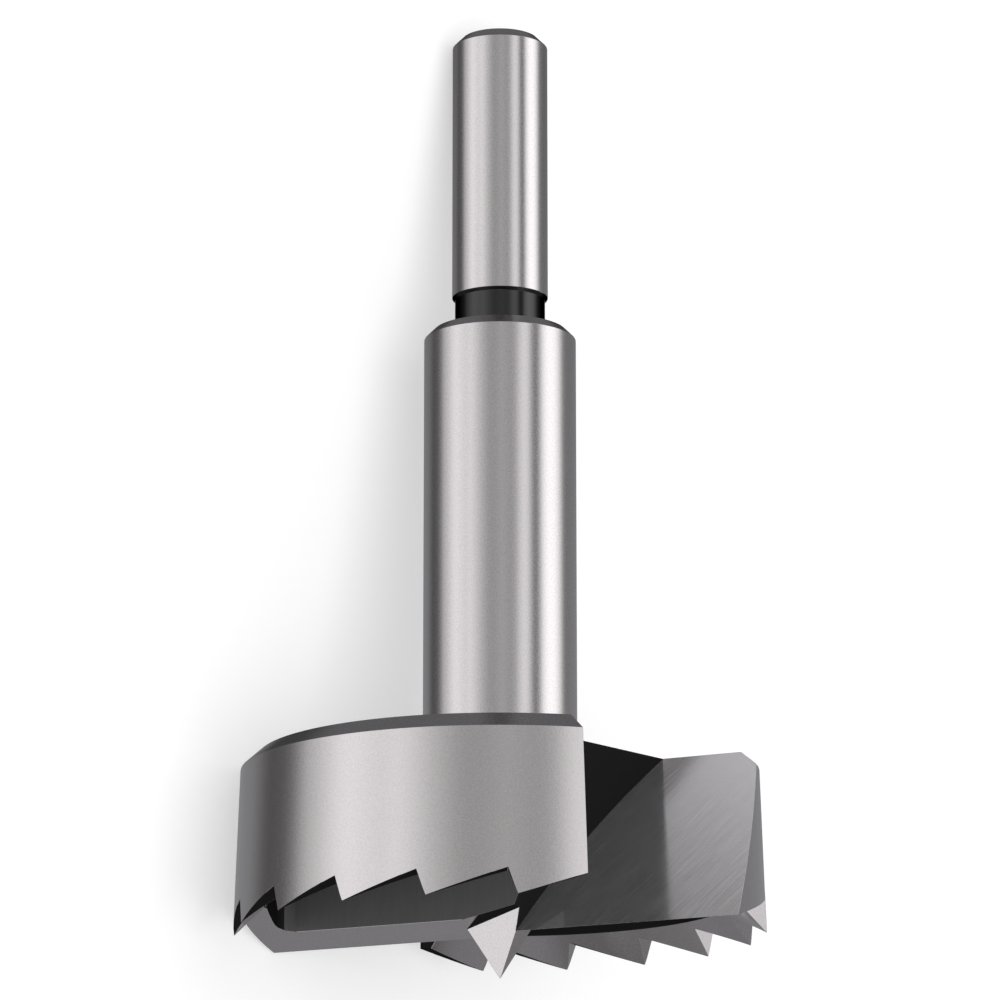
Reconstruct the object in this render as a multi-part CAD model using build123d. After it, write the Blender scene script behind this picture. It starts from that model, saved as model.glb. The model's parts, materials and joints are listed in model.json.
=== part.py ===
from build123d import *
import os
from math import acos, asin, atan2, cos, degrees, hypot, radians, sin, sqrt, tan

# Saw-tooth forstner bit in one piece of tool steel. Millimetres and degrees.
# It is drawn standing on its teeth: Z is the drilling axis, z = 0 is the plane of the tooth tips,
# the shank points up, and the cutting edges run along X. The two wings are half a turn apart.
# Wing 0 has its cutting edge on the +X side. Seen from the shank the bit cuts clockwise.
# At the end the bit is laid down as it would come to rest on a bench.

# Shank, stop groove and body
shank_d = 10.0
shank_len = 28.7
shank_end_chamfer = 1.05
groove_d = 9.4
groove_len = 3.3
body_d = 15.8
body_len = 45.1
body_chamfer = 1.0

# Head
cutting_d = 54.0
head_h = 18.1
back_taper = 1.9            # the rim narrows towards the shank, so that it clears the hole
back_chamfer_w = 1.75       # chamfer round the back of the rim, across and along the axis
back_chamfer_h = 1.55

# Rim teeth of one wing, counted from the outer corner of the cutting edge
first_tooth = 24.2          # azimuth of the first tooth tip behind the cutting edge
tooth_pitch = 19.18
tooth_count = 6
tooth_h = 2.6
tooth_lean = 20.0           # the steep face of a tooth leans back by this much
tip_flat = 0.05
wing_end = 134.9            # azimuth at which the rim ends, past the last tooth
end_turn = 18.5             # the end face is turned this far from radial, and leans back a little
end_lean = 0.5
rim_wall = 3.2
tip_bevel = 46.0            # inside of the rim, ground up from the tooth tips

# Lifter bars and the pockets behind them
edge_ahead = 1.48           # the cutting edge runs this far ahead of the centre line
hook = 26.6                 # the rake face leans back by this much
relief = 16.0               # the land under the bar rises behind the cutting edge
bar_w = 4.48                # width of the land
pocket_depth = 6.6
pocket_corner_r = 1.5

# Throats, where the chips leave
web_half = 2.78             # from the axis to the throat wall, at the tooth tips
web_turn = -13.1            # azimuth that the throat wall of wing 0 faces
web_lean = 18.9             # lean of the throat wall at the tooth tips
sweep_r = 60.3              # the wall sweeps out towards the back on this radius

# Centre spur, a four-sided point ground between the bars
spur_len = 4.57
spur_back_x = 2.92          # its back corner at the level of the tooth tips
spur_back_y = 0.68
spur_floor_start = 2.81     # the ground floor beside the spur starts here on the bar's back edge
spur_floor_slope = 11.3     # and rises by this much towards the other wing

# Levels and radii that follow
body_top = head_h + body_len
groove_top = body_top + groove_len
shank_top = groove_top + shank_len
shank_r = shank_d / 2
groove_r = groove_d / 2
body_r = body_d / 2
tip_r = cutting_d / 2
rim_inner_r = tip_r - rim_wall
back_edge_z = head_h - back_chamfer_h
bar_back = bar_w - edge_ahead
wing_turns = (0, 180)

# Stock that the cutters take with them past the surfaces that they leave
spare = 2.0
reach = cutting_d
below_all = -spur_len - spare


def rim_radius(z):
    return tip_r - z * tan(radians(back_taper))


def polar(radius, azimuth, z=0.0):
    turn = radians(azimuth)
    return Vector(radius * cos(turn), radius * sin(turn), z)


def ground_face(through, azimuth, lean):
    """Plane of a flat face. Its normal points out of the steel, to an azimuth and up by its lean."""
    level, rise = polar(cos(radians(lean)), azimuth), sin(radians(lean))
    return Plane(origin=through, z_dir=level + Vector(0, 0, rise))


def outside(stock, *faces):
    """The piece of stock that lies outside every one of the given faces."""
    for face in faces:
        stock = split(stock, bisect_by=face, keep=Keep.TOP)
    return stock


def inside(stock, face):
    return split(stock, bisect_by=face, keep=Keep.BOTTOM)


def cutter_stock():
    """Block round the whole head, from under the spur to above the head."""
    height = head_h + spare - below_all
    block = Box(2 * reach, 2 * reach, height, align=(Align.CENTER, Align.CENTER, Align.MIN))
    return block.moved(Location((0, 0, below_all)))


# Flat faces of wing 0. Those of wing 1 are the same, half a turn on.
tip_turn = degrees(asin(tooth_h * tan(radians(tooth_lean)) / tip_r))
flat_turn = degrees(tip_flat / tip_r)
first_gullet = first_tooth - tip_turn
rake_face = ground_face((0, -edge_ahead, 0), -90, hook)
land_face = ground_face((0, -edge_ahead, 0), 90, relief - 90)
back_wall = ground_face((0, bar_back, 0), 90, 0)
end_face = ground_face(polar(tip_r, wing_end), wing_end + 90 + end_turn, end_lean)
first_steep_face = ground_face(polar(tip_r, first_tooth), first_gullet - 90, -tooth_lean)

# Spur: its front corner runs out into the inner end of the cutting edge
web_x = (web_half + edge_ahead * sin(radians(web_turn))) / cos(radians(web_turn))
spur_tip = Vector(0, 0, -spur_len)
spur_front = Vector(web_x, -edge_ahead, 0)
spur_back = Vector(spur_back_x, spur_back_y, 0)
spur_end_face = Plane(origin=spur_tip, z_dir=(spur_back - spur_tip).cross(spur_front - spur_tip))
spur_side_face = Plane(origin=spur_tip, z_dir=(-spur_front - spur_tip).cross(spur_back - spur_tip))


def spur_floor_face():
    """It starts where the back corner of the spur comes out of the land."""
    slope = tan(radians(relief))
    corner_z = (spur_back_y + edge_ahead) * slope / (1 - spur_back_y / spur_len * slope)
    corner = spur_tip + (spur_back - spur_tip) * ((corner_z + spur_len) / spur_len)
    start = Vector(spur_floor_start, bar_back, bar_w * slope) - corner
    rise = Vector(-1, 0, tan(radians(spur_floor_slope)))
    return Plane(origin=corner, z_dir=start.cross(rise) * -1)


def turned_blank():
    """Shank, groove, body and head as they come off the lathe, with stock left for the spur."""
    top_r = rim_radius(back_edge_z) - back_chamfer_w
    points = [
        (0, shank_top),
        (shank_r - shank_end_chamfer, shank_top),
        (shank_r, shank_top - shank_end_chamfer),
        (shank_r, groove_top + shank_r - groove_r),
        (groove_r, groove_top),
        (groove_r, body_top),
        (body_r - body_chamfer, body_top),
        (body_r, body_top - body_chamfer),
        (body_r, head_h),
        (top_r, head_h),
        (rim_radius(back_edge_z), back_edge_z),
        (rim_radius(-spare), -spare),
        (body_r, -spare),
        (body_r, below_all),
        (0, below_all),
    ]
    section = make_face(Polyline(*points, close=True))
    return revolve(Plane.XZ * section, Axis.Z)


def rim_bevel():
    """Cone ground inside the rim up from the tooth tips, behind the first tooth's steep face."""
    slope = tan(radians(tip_bevel))
    points = [
        (rim_inner_r, -spare),
        (rim_inner_r, rim_wall * slope),
        (tip_r + spare / slope, -spare),
    ]
    section = Plane.XZ * make_face(Polyline(*points, close=True))
    start = first_gullet - tooth_pitch / 2
    ring = revolve(section.rotate(Axis.Z, start), Axis.Z, wing_end - first_gullet + tooth_pitch)
    return inside(ring, first_steep_face)


def tooth_gap(number):
    """Notch between two teeth, ground straight across the rim along its gullet."""
    gullet = first_gullet + number * tooth_pitch
    steep = tip_r * sin(radians(tip_turn))
    slope = tip_r * sin(radians(tooth_pitch - tip_turn - flat_turn))
    grow = (tooth_h + spare) / tooth_h
    across = Plane(origin=polar(rim_inner_r - spare, gullet), x_dir=polar(1, gullet + 90),
                   z_dir=polar(1, gullet))
    notch = Polyline((0, tooth_h), (steep * grow, -spare), (-slope * grow, -spare), close=True)
    return extrude(across * make_face(notch), rim_wall + 2 * spare)


def throat():
    """Chip space ahead of the rake face, between the throat wall and the end of the other wing."""
    start = radians(web_lean)

    def wall(z):
        lean = asin(sin(start) + z / sweep_r)
        return (web_half + sweep_r * (cos(start) - cos(lean)), z)

    low, high = below_all, head_h + spare
    outline = ThreePointArc(wall(low), wall((low + high) / 2), wall(high))
    outline += Polyline(wall(high), (reach, high), (reach, low), wall(low))
    across = Plane(origin=(0, 0, 0), x_dir=polar(1, web_turn), z_dir=polar(1, web_turn - 90))
    block = extrude(across * make_face(outline), reach, both=True)
    other_end = ground_face(polar(tip_r, wing_end + 180), wing_end + 270 + end_turn, end_lean)
    return outside(block, rake_face, other_end)


def pocket():
    """Recess in the underside between the lifter bar and the rim, open to the throat behind."""
    open_side = Rectangle(2 * reach, reach, align=(Align.CENTER, Align.MIN))
    plan = Circle(rim_inner_r) & open_side.moved(Location((0, bar_back)))
    corner = plan.vertices().sort_by(Axis.X)[-1]
    plan = fillet(corner, pocket_corner_r)
    return extrude(plan.moved(Location((0, 0, below_all))), pocket_depth - below_all)


def cut_wing(steel, turn):
    """Every cut of one wing. Turned half a turn, the same cutters make the other wing."""
    under_land = outside(cutter_stock(), land_face)
    past_spur = outside(under_land, spur_end_face)
    cutters = [
        inside(past_spur, back_wall),
        inside(outside(under_land, spur_side_face, Plane.YZ), back_wall),
        outside(past_spur, first_steep_face),
        inside(outside(cutter_stock(), spur_floor_face(), spur_side_face), back_wall),
        rim_bevel(),
        pocket(),
        throat(),
    ]
    cutters += [tooth_gap(number) for number in range(1, tooth_count + 1)]
    for cutter in cutters:
        steel = steel - cutter.rotate(Axis.Z, turn)
    return steel


def leading_corner(z):
    """Outer corner of the rake face of wing 0 at one height."""
    ahead = z * tan(radians(hook)) - edge_ahead
    return Vector(sqrt(rim_radius(z) ** 2 - ahead ** 2), ahead, z)


def end_corner(z):
    """Outer corner of the face where the rim of wing 0 ends, at one height."""
    facing = wing_end + 90 + end_turn
    level = -tip_r * sin(radians(end_turn)) - z * tan(radians(end_lean))
    return polar(rim_radius(z), facing - degrees(acos(level / rim_radius(z))), z)


def rest_direction():
    """Which way is down when the bit lies still. It lies on the end of its shank and on the two
    rims beside one throat: the end corner of one and the leading corner of the other."""
    far = end_corner(back_edge_z)
    steps = 60
    near_line = [leading_corner(back_edge_z * n / steps).rotate(Axis.Z, 180) for n in range(steps + 1)]
    shank_z = shank_top - shank_end_chamfer
    down = polar(1, wing_end)
    for _ in range(steps):
        near = max(near_line, key=down.dot)
        gap = far - near
        level = polar(1, degrees(atan2(down.Y, down.X)))
        fall = (far.dot(level) - shank_r) / (shank_z - far.Z)
        gap_turn = degrees(atan2(gap.Y, gap.X))
        away = degrees(acos(-gap.Z * fall / hypot(gap.X, gap.Y)))
        down = (polar(1, gap_turn + away) + Vector(0, 0, fall)).normalized()
    return down


def laid_down(steel):
    """Turn the bit to its resting place, shank towards +X, with the origin under its middle."""
    down = rest_direction()
    along = Vector(0, 0, 1) - down * down.Z
    steel = Plane(origin=(0, 0, 0), x_dir=along, z_dir=-down).to_local_coords(steel)
    box = steel.bounding_box()
    return steel.moved(Location((-box.center().X, -box.center().Y, -box.min.Z)))


def forstner_bit():
    steel = turned_blank()
    for turn in wing_turns:
        steel = cut_wing(steel, turn)
    return laid_down(steel.solid())


os.makedirs("parts", exist_ok=True)
export_step(forstner_bit(), "parts/forstner_bit.step")
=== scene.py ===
import json
import math

import bmesh
import bpy
from mathutils import Matrix, Vector


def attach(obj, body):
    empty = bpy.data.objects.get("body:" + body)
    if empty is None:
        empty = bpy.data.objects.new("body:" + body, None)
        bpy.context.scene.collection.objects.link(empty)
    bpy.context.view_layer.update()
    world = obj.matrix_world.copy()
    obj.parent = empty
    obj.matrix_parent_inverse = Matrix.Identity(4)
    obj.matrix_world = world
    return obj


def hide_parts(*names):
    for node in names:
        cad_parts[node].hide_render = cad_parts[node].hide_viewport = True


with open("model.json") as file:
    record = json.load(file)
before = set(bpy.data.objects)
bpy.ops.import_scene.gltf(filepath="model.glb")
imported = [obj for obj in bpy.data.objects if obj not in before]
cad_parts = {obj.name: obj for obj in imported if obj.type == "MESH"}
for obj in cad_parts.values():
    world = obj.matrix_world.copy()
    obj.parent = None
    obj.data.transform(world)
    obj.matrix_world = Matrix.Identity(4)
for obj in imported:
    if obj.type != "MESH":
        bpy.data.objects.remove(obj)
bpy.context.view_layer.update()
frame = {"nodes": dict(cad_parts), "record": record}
scene = bpy.context.scene
scene.view_settings.view_transform = "Standard"

# Camera: a long lens looks down on the bit as it lies on the bench, from its side and a little from
# the end with the teeth. It is rolled so that the shank points up the picture.
CAMERA_PLACE = Vector((-0.03973, 0.36513, 0.36667))
CAMERA_LOOK = Vector((0.07862, -0.71890, -0.69065)).normalized()
CAMERA_UP = Vector((0.98292, 0.17156, -0.06668))
CAMERA_SENSOR = 36.0
CAMERA_LENS = 176.85

camera_right = CAMERA_LOOK.cross(CAMERA_UP).normalized()
camera_turn = Matrix((camera_right, camera_right.cross(CAMERA_LOOK), -CAMERA_LOOK)).transposed()
camera_data = bpy.data.cameras.new("camera")
camera_data.sensor_width = CAMERA_SENSOR
camera_data.lens = CAMERA_LENS
camera = bpy.data.objects.new("camera", camera_data)
camera.matrix_world = Matrix.Translation(CAMERA_PLACE) @ camera_turn.to_4x4()
scene.collection.objects.link(camera)
scene.camera = camera

# Drilling axis: that of the shank's mount, which points from the teeth to the shank's end. Lengths
# along it are in millimetres from the plane of the tooth tips, as on a drawing of the bit. Square to
# it, toward points to the camera's side of the bit, and side completes the three.
MM = 0.001
SHANK_MIDDLE = 80.475

shank_mount = frame["record"]["mounts"][0]
axis = Vector(shank_mount["axis"]).normalized()
tip_centre = Vector(shank_mount["pos_m"]) - axis * SHANK_MIDDLE * MM
toward = (CAMERA_LOOK.dot(axis) * axis - CAMERA_LOOK).normalized()
side = axis.cross(toward).normalized()

# Studio: a plain white room for the eye, and for the steel a ring of soft panels that run along the
# bit, with dark gaps between them. Bright metal shows only what it mirrors, so these are its streaks.
# Each panel stop is a direction in degrees round the bit, from the camera's side, and its light.
PANELS = (
    (-121, 0.11), (-108, 0.14), (-101, 0.29), (-94, 0.66), (-86, 0.84), (-75, 1.18), (-69, 1.24),
    (-53, 1.05), (-45, 1.14), (-38, 0.98), (-29, 0.73), (-17, 0.48), (-9, 0.47), (3, 0.56), (17, 0.47),
    (23, 0.56), (31, 0.99), (37, 1.14), (43, 1.04), (51, 0.34), (57, 0.20), (62, 0.62), (68, 1.32),
    (78, 1.74), (90, 1.66), (98, 1.32), (105, 0.78), (112, 0.28),
)
# The ring ends behind the bit, where it fades into the room: direction, light, and the ring's share.
RING_STARTS = ((-140, 0.22, 0), (-128, 0.17, 1))
RING_STOPS = ((118, 0.25, 1), (130, 0.24, 0))
# Below the tooth plane the ring has its own levels, which the ground faces round the teeth mirror.
# One passes into the other between two heights, which are in degrees above the tooth plane.
LOW_PANELS = (
    (-150, 0.25), (-106, 0.22), (-95, 0.5), (-84, 1.0), (-70, 1.16), (-40, 0.9), (-9, 1.0), (5, 0.9),
    (15, 0.5), (24, 0.25), (36, 0.25), (50, 0.7), (59, 0.96), (74, 0.96), (85, 0.6), (95, 0.24),
    (150, 0.27),
)
LOW_RING_BELOW = -12
HIGH_RING_ABOVE = -5
# How the ring's light changes along the bit, by degrees above the tooth plane. Far below the teeth
# the ring fades into the room as well.
PANEL_ENDS = (
    (-71, 0.15), (-63, 0.24), (-56, 0.85), (-48, 1.0), (20, 1.0), (45, 0.9), (51, 0.30), (54.6, 0.16),
    (56.4, 0.8), (60, 0.84), (67, 0.30), (71, 0.06), (77, 0.06), (81, 0.22), (90, 0.22),
)
RING_BOTTOM = ((-74.5, 0.15, 0), (-72, 0.15, 1))
# The room behind the bit, also by degrees above the tooth plane: dim, and a little cooler than white.
ROOM_BEHIND = (
    (-90, 0.31), (-73, 0.31), (-45, 0.38), (-36, 0.30), (-20, 0.26), (8, 0.32), (13, 0.29), (18, 0.20),
    (25, 0.06), (37, 0.07), (45, 0.17), (70, 0.18), (90, 0.18),
)
ROOM_TINT = "#f4f5f8"
WHITE = "#ffffff"
# A colour ramp holds no more than 1, so its levels are shares of the brightest one.
BRIGHTEST = 2.0
ROOM_LIGHT = 0.55
PURE_WHITE = 1.0


def linear(hex_colour):
    """A colour written as sRGB hex, turned to linear light."""
    channels = [int(hex_colour[i:i + 2], 16) / 255 for i in (1, 3, 5)]
    return [c / 12.92 if c <= 0.04045 else ((c + 0.055) / 1.055) ** 2.4 for c in channels] + [1.0]


def add(tree, kind, links={}, values={}, **settings):
    """Adds one node with its settings, its inputs' values, and its links from (node, output)."""
    node = tree.nodes.new(kind)
    for name, setting in settings.items():
        setattr(node, name, setting)
    for entry, value in values.items():
        node.inputs[entry].default_value = value
    for entry, (source, output) in links.items():
        tree.links.new(source.outputs[output], node.inputs[entry])
    return node


def round_the_bit(degrees):
    """Place on a ramp of a direction round the bit."""
    return (degrees + 180) / 360


def along_the_bit(degrees):
    """Place on a ramp of a direction so many degrees above the tooth plane."""
    return (math.sin(math.radians(degrees)) + 1) / 2


def shade(ramp, place_of, stops, brightest, tint=WHITE):
    """Sets a colour ramp from stops in order: degrees, light and, where the ring fades, its share."""
    ramp.elements.remove(ramp.elements[1])
    for number, (degrees, level, *share) in enumerate(stops):
        place = place_of(degrees)
        stop = ramp.elements[0] if number == 0 else ramp.elements.new(place)
        stop.position = place
        stop.color = [level / brightest * channel for channel in linear(tint)[:3]] + (share or [1])


world = bpy.data.worlds.new("studio")
scene.world = world
world.use_nodes = True
# The room's own light is even, so Cycles needs no map of where it comes from.
world.cycles.sampling_method = "NONE"
tree = world.node_tree
tree.nodes.clear()
room = add(tree, "ShaderNodeTexCoord")
turned = add(tree, "ShaderNodeMapping", {"Vector": (room, "Generated")},
             {"Rotation": Matrix((toward, side, axis)).to_euler()})
angle = add(tree, "ShaderNodeTexGradient", {"Vector": (turned, "Vector")}, gradient_type="RADIAL")
panels = add(tree, "ShaderNodeValToRGB", {"Fac": (angle, "Fac")})
shade(panels.color_ramp, round_the_bit, RING_STARTS + PANELS + RING_STOPS, BRIGHTEST)
low_panels = add(tree, "ShaderNodeValToRGB", {"Fac": (angle, "Fac")})
shade(low_panels.color_ramp, round_the_bit, LOW_PANELS, BRIGHTEST)
height = add(tree, "ShaderNodeSeparateXYZ", {"Vector": (turned, "Vector")})
along = add(tree, "ShaderNodeMapRange", {"Value": (height, "Z")}, {"From Min": -1.0, "From Max": 1.0})
ends = add(tree, "ShaderNodeValToRGB", {"Fac": (along, "Result")})
shade(ends.color_ramp, along_the_bit, RING_BOTTOM + PANEL_ENDS, BRIGHTEST)
behind = add(tree, "ShaderNodeValToRGB", {"Fac": (along, "Result")})
shade(behind.color_ramp, along_the_bit, ROOM_BEHIND, BRIGHTEST ** 2, ROOM_TINT)
high = add(tree, "ShaderNodeMapRange", {"Value": (height, "Z")},
           {"From Min": math.sin(math.radians(LOW_RING_BELOW)),
            "From Max": math.sin(math.radians(HIGH_RING_ABOVE))})
both_rings = add(tree, "ShaderNodeMix", {"Factor": (high, "Result"), "A": (low_panels, "Color"),
                                         "B": (panels, "Color")}, data_type="RGBA")
ring = add(tree, "ShaderNodeMix", {"A": (both_rings, "Result"), "B": (ends, "Color")}, {"Factor": 1.0},
           data_type="RGBA", blend_type="MULTIPLY")
in_ring = add(tree, "ShaderNodeMath", {0: (panels, "Alpha"), 1: (ends, "Alpha")}, operation="MULTIPLY")
whole = add(tree, "ShaderNodeMix", {"Factor": (in_ring, "Value"), "A": (behind, "Color"),
                                    "B": (ring, "Result")}, data_type="RGBA")
mirrored = add(tree, "ShaderNodeBackground", {"Color": (whole, "Result")}, {"Strength": BRIGHTEST ** 2})
soft = add(tree, "ShaderNodeBackground", values={"Color": linear(WHITE), "Strength": ROOM_LIGHT})
seen = add(tree, "ShaderNodeBackground", values={"Color": linear(WHITE), "Strength": PURE_WHITE})
ray = add(tree, "ShaderNodeLightPath")
lit = add(tree, "ShaderNodeMixShader", {"Fac": (ray, "Is Glossy Ray"), 1: (soft, "Background"),
                                        2: (mirrored, "Background")})
shown = add(tree, "ShaderNodeMixShader", {"Fac": (ray, "Is Camera Ray"), 1: (lit, "Shader"),
                                          2: (seen, "Background")})
add(tree, "ShaderNodeOutputWorld", {"Surface": (shown, "Shader")})

# Main lamp: one large square softbox high over the camera, so that the shadow falls behind the bit.
# The steel doesn't mirror it, because the panels already stand for what is mirrored.
LAMP_TOWARD = 0.75
LAMP_ASIDE = 0.1
LAMP_UP = 0.55
LAMP_DISTANCE = 0.75
LAMP_SIZE = 0.6
LAMP_POWER = 3.2

lamp_from = (toward * LAMP_TOWARD + side * LAMP_ASIDE + Vector((0, 0, LAMP_UP))).normalized()
lamp_data = bpy.data.lights.new("softbox", "AREA")
lamp_data.size = LAMP_SIZE
lamp_data.energy = LAMP_POWER
lamp = bpy.data.objects.new("softbox", lamp_data)
lamp.location = lamp_from * LAMP_DISTANCE
lamp.rotation_euler = lamp_from.to_track_quat("Z", "Y").to_euler()
lamp.visible_camera = False
lamp.visible_glossy = False
scene.collection.objects.link(lamp)

# Floor: plain pale paper that takes the bit's soft shadow. The camera sees it glow a little, so that
# it reaches white beside the shadow. The steel mirrors the studio and not the floor.
FLOOR_SIZE = 3.0
FLOOR_GAP = 0.02 * MM
PAPER_COLOUR = "#d6d6d6"
PAPER_GLOW = 0.42

bm = bmesh.new()
bmesh.ops.create_grid(bm, size=FLOOR_SIZE / 2)
bmesh.ops.translate(bm, verts=bm.verts, vec=(0, 0, -FLOOR_GAP))
floor_mesh = bpy.data.meshes.new("floor")
bm.to_mesh(floor_mesh)
bm.free()
floor = bpy.data.objects.new("floor", floor_mesh)
floor.visible_glossy = False
scene.collection.objects.link(floor)

paper = bpy.data.materials.new("white_paper")
paper.use_nodes = True
tree = paper.node_tree
tree.nodes.clear()
matt = add(tree, "ShaderNodeBsdfDiffuse", values={"Color": linear(PAPER_COLOUR)})
glow = add(tree, "ShaderNodeEmission", values={"Color": linear(WHITE), "Strength": PAPER_GLOW})
glowing = add(tree, "ShaderNodeAddShader", {0: (matt, "BSDF"), 1: (glow, "Emission")})
ray = add(tree, "ShaderNodeLightPath")
shown = add(tree, "ShaderNodeMixShader", {"Fac": (ray, "Is Camera Ray"), 1: (matt, "BSDF"),
                                          2: (glowing, "Shader")})
add(tree, "ShaderNodeOutputMaterial", {"Surface": (shown, "Shader")})
floor_mesh.materials.append(paper)


# The bit: one piece of hardened tool steel, turned, milled and then ground. The milled recesses keep
# the black oxide of the hardening bath, and grinding leaves the outside and the cutting faces bright.
# The mesh is a merged copy of the CAD solid with its edges eased as a stone eases them.
HEAD_HEIGHT = 18.1
RIM_BACK = 16.55
RIM_RADIUS = 27.0
RIM_TAPER = math.radians(1.9)
RIM_WALL = 3.2
BODY_TOP = 63.2
GROOVE_CONE_TOP = 67.1
# The spur and the teeth end below this height, and the ceilings of the recesses are above it.
TEETH_TOP = 3.0
# The rake faces lean forward by the hook, and the lands fall away behind the edges by the relief.
HOOK = math.radians(26.6)
RELIEF = math.radians(16.0)
# A throat's wall is swept round a line square to the axis, which is this far out in the direction of
# the turn and this high.
THROAT_TURN = math.radians(-13.1)
THROAT_ACROSS = 59.83
THROAT_HEIGHT = -19.53
SWEEP_RADIUS = 60.3
# A recess's back wall is drawn grey as a painted reflection. The grey goes a little over half-way round
# the wall's rounded inner corner, and the rest of the corner is dull black oxide.
CORNER_SHARE = math.cos(math.radians(47.0))
# The spur and the small floors beside it lie within this radius. Each floor carries a painted
# reflection: ground steel for its bright part and dull black oxide for its dark band. The two meet at
# the line from the spur's corner to the other point.
SPUR_REACH = 5.3
SPUR_CORNER = Vector((3.33, 0.78, 0.65))
BRIGHT_REFLECTION_END = Vector((1.0, 3.0, 0.65))
# The slant of the grinding lines on the rake faces, from the cutting edge.
GRIND_TURN = math.radians(51.0)
EASED_EDGE = 0.03
# The solid's tips have flats this small, which are closed to sharp points.
TIP_FLAT = 0.06
# Faces that bend less than the first are merged, and edges that bend more than the second are eased.
FLAT_BEND = math.radians(0.3)
SHARP_BEND = math.radians(30)
# How near a face lies to a surface that it belongs to.
NEAR = 0.3
WALL_PLAY = 0.1
TOUCHING = 0.01
# How much of a face's normal points the same way as the surface's own, up the axis or outwards from
# it, where 1 is all of it.
FLAT_ALIKE = 0.9995
CURVED_ALIKE = 0.998
SQUARE = 0.99
MOSTLY = 0.9
STEEP = 0.6
HALF = 0.5
SLIGHTLY = 0.3
HARDLY = 0.01
SATIN, FACED, GROUND, RAKED, GLOSSY, DULL, PAINTED_REFLECTION_GREY = range(7)
FLAT, ROUND, SWEPT = range(3)
# Direction of one cutting edge as the bit lies.
EDGE_ALONG = Vector((0.21651, -0.27474, 0.93683))

edge_along = (EDGE_ALONG - axis * EDGE_ALONG.dot(axis)).normalized()
to_drawing = Matrix((edge_along, axis.cross(edge_along), axis))
from_drawing = to_drawing.transposed()
sweep_across = Vector((math.cos(THROAT_TURN), math.sin(THROAT_TURN), 0))
rake_normal = Vector((0, -math.cos(HOOK), math.sin(HOOK)))
land_normal = Vector((0, math.sin(RELIEF), -math.cos(RELIEF)))
spur_floor_normal = Vector((-0.191, 0.229, -0.955)).normalized()
bright_reflection_side = (BRIGHT_REFLECTION_END - SPUR_CORNER).cross(Vector((0, 0, 1))).normalized()
grind_along = Vector((math.cos(GRIND_TURN), math.sin(HOOK) * math.sin(GRIND_TURN),
                      math.cos(HOOK) * math.sin(GRIND_TURN)))


def on_drawing(point):
    """A point in millimetres on the bit's own axes: X along one cutting edge, Z up the shank."""
    return to_drawing @ ((point - tip_centre) / MM)


def half_turn(vector):
    """The same point or direction on the other wing."""
    return Vector((-vector.x, -vector.y, vector.z))


def sweep_normal(place):
    """Normal of the swept throat wall at a place on wing 0, and how far the place is from that wall."""
    centre = sweep_across * THROAT_ACROSS + Vector((0, 0, THROAT_HEIGHT))
    out = centre - sweep_across * place.dot(sweep_across) - Vector((0, 0, place.z))
    return out.normalized(), abs(out.length - SWEEP_RADIUS)


def round_kind(middle, normal, radius, outward):
    """Form and finish of a face that is turned about the axis, or None if another cut made it."""
    if normal.z > SQUARE and middle.z > RIM_BACK:
        return FLAT, FACED
    if outward > SLIGHTLY and middle.z > RIM_BACK - TOUCHING:
        return ROUND, (GLOSSY if BODY_TOP < middle.z < GROOVE_CONE_TOP else SATIN)
    if outward > MOSTLY and abs(radius - RIM_RADIUS + middle.z * math.tan(RIM_TAPER)) < NEAR:
        return ROUND, SATIN
    if outward < -HALF and radius > RIM_RADIUS - RIM_WALL - WALL_PLAY:
        return ROUND, (GROUND if normal.z < -HALF else DULL)
    return None


def kind_of(face):
    """A face's form (flat, turned about the axis, or swept by the throat cutter), its finish, and 1 if
    it is on the other wing."""
    middle = on_drawing(face.calc_center_median())
    normal = to_drawing @ face.normal
    radius = math.hypot(middle.x, middle.y)
    outward = (normal.x * middle.x + normal.y * middle.y) / max(radius, TOUCHING)
    for wing, turn in enumerate((Vector, half_turn)):
        wall, gap = sweep_normal(turn(middle))
        if middle.z < HEAD_HEIGHT and gap < NEAR and wall.dot(turn(normal)) > CURVED_ALIKE:
            return SWEPT, DULL, wing
    if math.hypot(outward, normal.z) > CURVED_ALIKE:
        turned_kind = round_kind(middle, normal, radius, outward)
        if turned_kind:
            return *turned_kind, 0
    for wing, turn in enumerate((Vector, half_turn)):
        own = turn(normal)
        if own.dot(rake_normal) > FLAT_ALIKE:
            return FLAT, RAKED, wing
        if own.dot(land_normal) > FLAT_ALIKE:
            return FLAT, GROUND, wing
        # A back wall and the half of its corner next to it get the grey finish, a painted reflection.
        if own.y > CORNER_SHARE and own.x < HARDLY and abs(own.z) < HARDLY:
            return FLAT, PAINTED_REFLECTION_GREY, wing
        if own.dot(spur_floor_normal) > FLAT_ALIKE and radius < SPUR_REACH:
            # Painted reflection: a spur floor's bright side is ground steel, and the rest is dull black
            # oxide.
            in_bright_reflection = (turn(middle) - SPUR_CORNER).dot(bright_reflection_side) > 0
            return FLAT, (GROUND if in_bright_reflection else DULL), wing
    on_spur = radius < SPUR_REACH and middle.z < TEETH_TOP and normal.z < 0
    across_rim = abs(outward) < SLIGHTLY and abs(normal.z) < STEEP
    on_tooth = radius > RIM_RADIUS - RIM_WALL and middle.z < TEETH_TOP and across_rim
    on_ceiling = normal.z < -SQUARE and middle.z > TEETH_TOP
    # Ceilings of the recesses get the same painted-reflection grey.
    return FLAT, (GROUND if on_spur or on_tooth else PAINTED_REFLECTION_GREY if on_ceiling else DULL), 0


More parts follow.
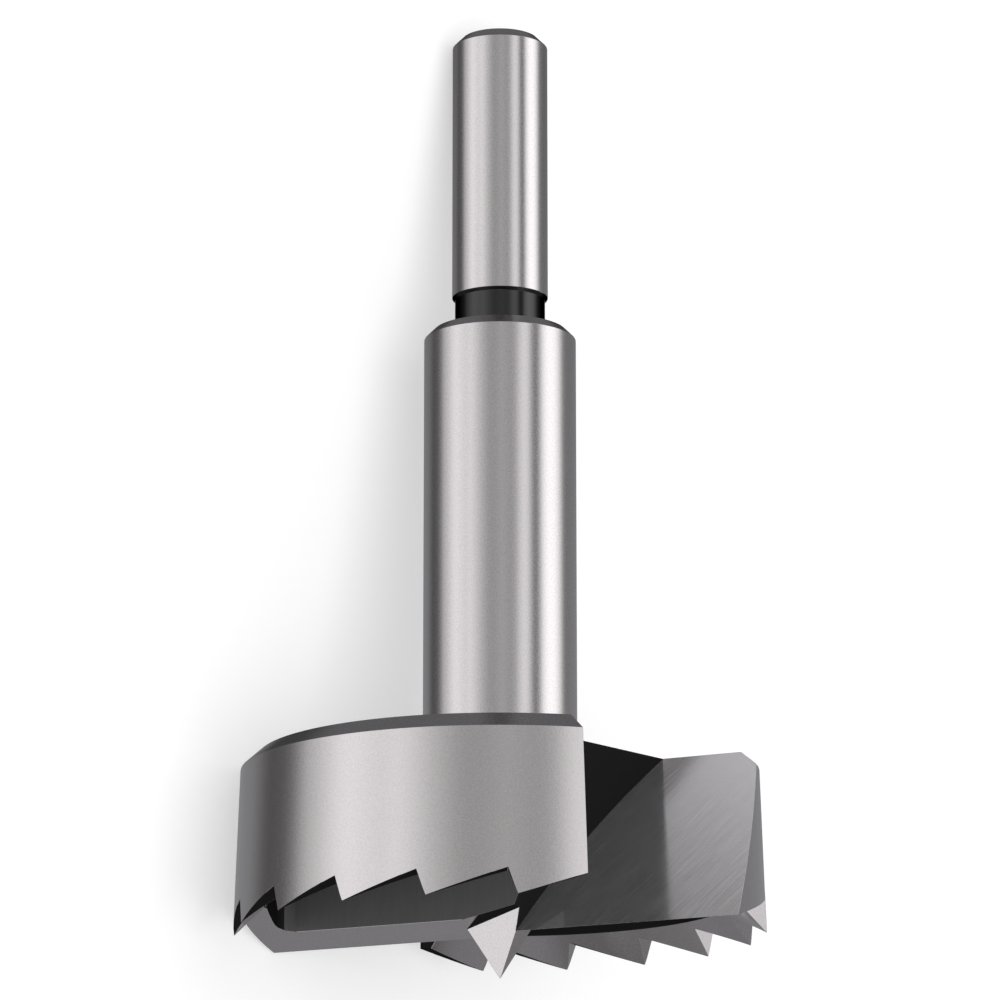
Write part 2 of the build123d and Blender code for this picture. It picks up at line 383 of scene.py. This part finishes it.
def true_normal(face, vertex, form, wing):
    """Normal of the surface that a face stands for, at one of its corners."""
    if form == FLAT:
        return face.normal.copy()
    normal = to_drawing @ face.normal
    place = on_drawing(vertex.co)
    if form == ROUND:
        middle = on_drawing(face.calc_center_median())
        outward = (normal.x * middle.x + normal.y * middle.y) / math.hypot(middle.x, middle.y)
        radial = Vector((place.x, place.y, 0)).normalized()
        return (from_drawing @ (radial * outward + Vector((0, 0, normal.z)))).normalized()
    turn = half_turn if wing else Vector
    return (from_drawing @ turn(sweep_normal(turn(place))[0])).normalized()


def marks_at(face, vertex, form, wing):
    """A corner's place along and across the marks that the tool left on its face, in millimetres."""
    normal = to_drawing @ face.normal
    place = on_drawing(vertex.co)
    if form == ROUND:
        middle = on_drawing(face.calc_center_median())
        around = math.atan2(middle.y, middle.x)
        step = (math.atan2(place.y, place.x) - around + math.pi) % (2 * math.pi) - math.pi
        return (around + step) * math.hypot(middle.x, middle.y), place.z
    if wing:
        normal, place = half_turn(normal), half_turn(place)
    along = Vector((1, 0, 0)) if abs(normal.z) > MOSTLY else Vector((0, 0, 1))
    if normal.dot(rake_normal) > FLAT_ALIKE:
        along = grind_along
    along = (along - normal * along.dot(normal)).normalized()
    return place.dot(along), place.dot(normal.cross(along))


bm = bmesh.new()
bm.from_mesh(frame["nodes"]["forstner_bit"].data)
bmesh.ops.remove_doubles(bm, verts=bm.verts, dist=TIP_FLAT * MM)
bmesh.ops.dissolve_limit(bm, angle_limit=FLAT_BEND, verts=bm.verts, edges=bm.edges)
# Each small floor beside the spur is divided where its painted reflection turns from bright to dark.
# Ground steel stands for the bright part, and dull black oxide for the dark band.
by_spur = [face for face in bm.faces if on_drawing(face.calc_center_median()).xy.length < SPUR_REACH]
spur_floors = [(face, turn) for face in by_spur for turn in (Vector, half_turn)
               if turn(to_drawing @ face.normal).dot(spur_floor_normal) > FLAT_ALIKE]
for face, turn in spur_floors:
    bmesh.ops.bisect_plane(bm, geom=[face, *face.edges, *face.verts], dist=TIP_FLAT * MM,
                           plane_co=tip_centre + from_drawing @ turn(SPUR_CORNER) * MM,
                           plane_no=from_drawing @ turn(bright_reflection_side))
forms = bm.faces.layers.int.new("form")
wings = bm.faces.layers.int.new("wing")
for face in bm.faces:
    face[forms], face.material_index, face[wings] = kind_of(face)
sharp = [edge for edge in bm.edges if edge.calc_face_angle(0) > SHARP_BEND]
strips = set(bmesh.ops.bevel(bm, geom=sharp, offset=EASED_EDGE * MM, offset_type="OFFSET", segments=1,
                             profile=0.5, affect="EDGES", clamp_overlap=False, material=-1)["faces"])
bm.verts.ensure_lookup_table()
bm.normal_update()
# Shading follows the true round and swept surfaces, and only the narrow strips of the eased edges
# turn from one face's normal to the next one's.
normals = []
for vertex in bm.verts:
    held = [true_normal(face, vertex, face[forms], face[wings]) * face.calc_area() ** 0.5
            for face in vertex.link_faces if face not in strips]
    normals.append(sum(held, Vector()).normalized() if held else vertex.normal.copy())
marks = bm.loops.layers.uv.new("marks")
for face in bm.faces:
    face.smooth = True
    for corner in face.loops:
        corner[marks].uv = marks_at(face, corner.vert, face[forms], face[wings])
bit_mesh = bpy.data.meshes.new("forstner_bit_steel")
bm.to_mesh(bit_mesh)
bm.free()
bit_mesh.normals_split_custom_set_from_vertices(normals)
bit = bpy.data.objects.new("forstner_bit_steel", bit_mesh)
scene.collection.objects.link(bit)

# Finishes. Grit and tool marks are a few hundredths of a millimetre apart on the real steel, too fine
# to show, so the grain, the marks and the rings are all drawn coarser. Sizes are in millimetres.
GRAIN = 0.16
OXIDE_GRAIN = 0.2
MARK_LENGTH = 5.0
# Noise stays near its middle, so only this part of its range is spread over the whole pattern.
GRAIN_LOW, GRAIN_HIGH = 0.3, 0.7
MARK_LOW, MARK_HIGH = 0.36, 0.68
MARK_SHARE = 0.8
GLOSS_SPREAD = 0.1
# The rings of a wave texture are this far apart at a scale of 1.
WAVE_SPACING = math.pi / 10


def steel(name, colour, rough, grain_depth, mottle, grain_mm=GRAIN, metal=1.0, edge=WHITE, lustre=0.5,
          mark_mm=None, mark_depth=0.0, mark_haze=0.0, ring_mm=None, ring_depth=0.0):
    """One finish: grain all over and, where they have a spacing, marks along the cut or turned rings."""
    material = bpy.data.materials.new(name)
    material.use_nodes = True
    tree = material.node_tree
    tree.nodes.clear()
    place = add(tree, "ShaderNodeTexCoord")
    grain = add(tree, "ShaderNodeTexNoise", {"Vector": (place, "Object")},
                {"Scale": 1 / (grain_mm * MM), "Detail": 1.0, "Roughness": 0.5})
    pattern = (grain, "Fac")
    relief = add(tree, "ShaderNodeBump", {"Height": pattern},
                 {"Strength": 1.0, "Distance": grain_depth * MM})
    if mark_mm:
        cut = add(tree, "ShaderNodeUVMap", uv_map="marks")
        drawn = add(tree, "ShaderNodeMapping", {"Vector": (cut, "UV")},
                    {"Scale": (1 / MARK_LENGTH, 1 / mark_mm, 1.0)})
        noise = add(tree, "ShaderNodeTexNoise", {"Vector": (drawn, "Vector")},
                    {"Scale": 1.0, "Detail": 4.0, "Roughness": 0.7})
        lines = add(tree, "ShaderNodeMapRange", {"Value": (noise, "Fac")},
                    {"From Min": MARK_LOW, "From Max": MARK_HIGH})
        relief = add(tree, "ShaderNodeBump", {"Height": (lines, "Result"), "Normal": (relief, "Normal")},
                     {"Strength": 1.0, "Distance": mark_depth * MM})
        mixed = add(tree, "ShaderNodeMix", {"A": pattern, "B": (lines, "Result")},
                    {"Factor": MARK_SHARE}, data_type="FLOAT")
        pattern = (mixed, "Result")
    if ring_mm:
        turned = add(tree, "ShaderNodeMapping", {"Vector": (place, "Object")},
                     {"Location": to_drawing @ tip_centre / -MM, "Rotation": to_drawing.to_euler(),
                      "Scale": (1 / MM, 1 / MM, 1 / MM)})
        rings = add(tree, "ShaderNodeTexWave", {"Vector": (turned, "Vector")},
                    {"Scale": WAVE_SPACING / ring_mm, "Distortion": 1.5, "Detail": 2.0,
                     "Detail Scale": 0.6}, wave_type="RINGS", rings_direction="Z")
        relief = add(tree, "ShaderNodeBump", {"Height": (rings, "Fac"), "Normal": (relief, "Normal")},
                     {"Strength": 1.0, "Distance": ring_depth * MM})
    tint = add(tree, "ShaderNodeValToRGB", {"Fac": pattern})
    low, high = tint.color_ramp.elements
    low.position, high.position = GRAIN_LOW, GRAIN_HIGH
    low.color = [channel * (1 - mottle) for channel in linear(colour)[:3]] + [1]
    high.color = [channel * (1 + mottle) for channel in linear(colour)[:3]] + [1]
    gloss = add(tree, "ShaderNodeMapRange", {"Value": pattern},
                {"From Min": GRAIN_LOW, "From Max": GRAIN_HIGH,
                 "To Min": rough * (1 - GLOSS_SPREAD), "To Max": rough * (1 + GLOSS_SPREAD)})
    surface = add(tree, "ShaderNodeBsdfPrincipled",
                  {"Base Color": (tint, "Color"), "Roughness": (gloss, "Result"),
                   "Normal": (relief, "Normal")},
                  {"Metallic": metal, "Specular Tint": linear(edge), "Specular IOR Level": lustre})
    if mark_haze:
        haze = add(tree, "ShaderNodeMapRange", {"Value": (lines, "Result")},
                   {"To Min": metal + mark_haze, "To Max": metal - mark_haze})
        tree.links.new(haze.outputs["Result"], surface.inputs["Metallic"])
    add(tree, "ShaderNodeOutputMaterial", {"Surface": (surface, "BSDF")})
    return material


# The finishes go on in the order of their names above, SATIN first.
# Turned and ground round: satin steel, with the studio's streaks drawn out soft and a faint sparkle.
bit_mesh.materials.append(steel("satin_steel", "#cbc7c8", rough=0.17, grain_depth=0.0025, mottle=0.06))
# Faced on the lathe: duller than the satin, with fine rings round the axis.
bit_mesh.materials.append(steel("faced_steel", "#cbc7c8", rough=0.26, grain_depth=0.002, mottle=0.04,
                                ring_mm=0.4, ring_depth=0.0015))
# Finely ground: even and bright, a little crisper than the satin.
bit_mesh.materials.append(steel("ground_steel", "#cac5c7", rough=0.15, grain_depth=0.0018, mottle=0.06))
# Surface ground: nearly a mirror, with slanting grinding lines that each dull it a little.
bit_mesh.materials.append(steel("surface_ground_steel", "#c8c6c8", rough=0.12, grain_depth=0.0010,
                                mottle=0.042, metal=0.84, mark_mm=0.2, mark_depth=0.00006,
                                mark_haze=0.04))
# Black oxide over turned steel: near black, with the streaks still sharp in it.
bit_mesh.materials.append(steel("glossy_black_oxide", "#444445", rough=0.12, grain_depth=0.0005,
                                mottle=0.04, grain_mm=OXIDE_GRAIN, edge="#707070"))
# Black oxide over milled steel: a soft dull black that mirrors next to nothing.
bit_mesh.materials.append(steel("dull_black_oxide", "#2c2c2d", rough=0.45, grain_depth=0.001,
                                mottle=0.05, grain_mm=OXIDE_GRAIN, metal=0.6, edge="#404040",
                                lustre=0.0))
# Milled back walls and ceilings of the recesses: an even dark grey. This grey is a painted reflection
# that stands in for the studio light these walls would mirror, and it carries faint cutter marks up the
# wall.
bit_mesh.materials.append(steel("milled_steel_painted_reflection", "#646464", rough=0.45, grain_depth=0.001, mottle=0.03,
                                grain_mm=OXIDE_GRAIN, metal=0.3, edge="#606060", mark_mm=0.3,
                                mark_depth=0.001))

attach(bit, "root")
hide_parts("forstner_bit")
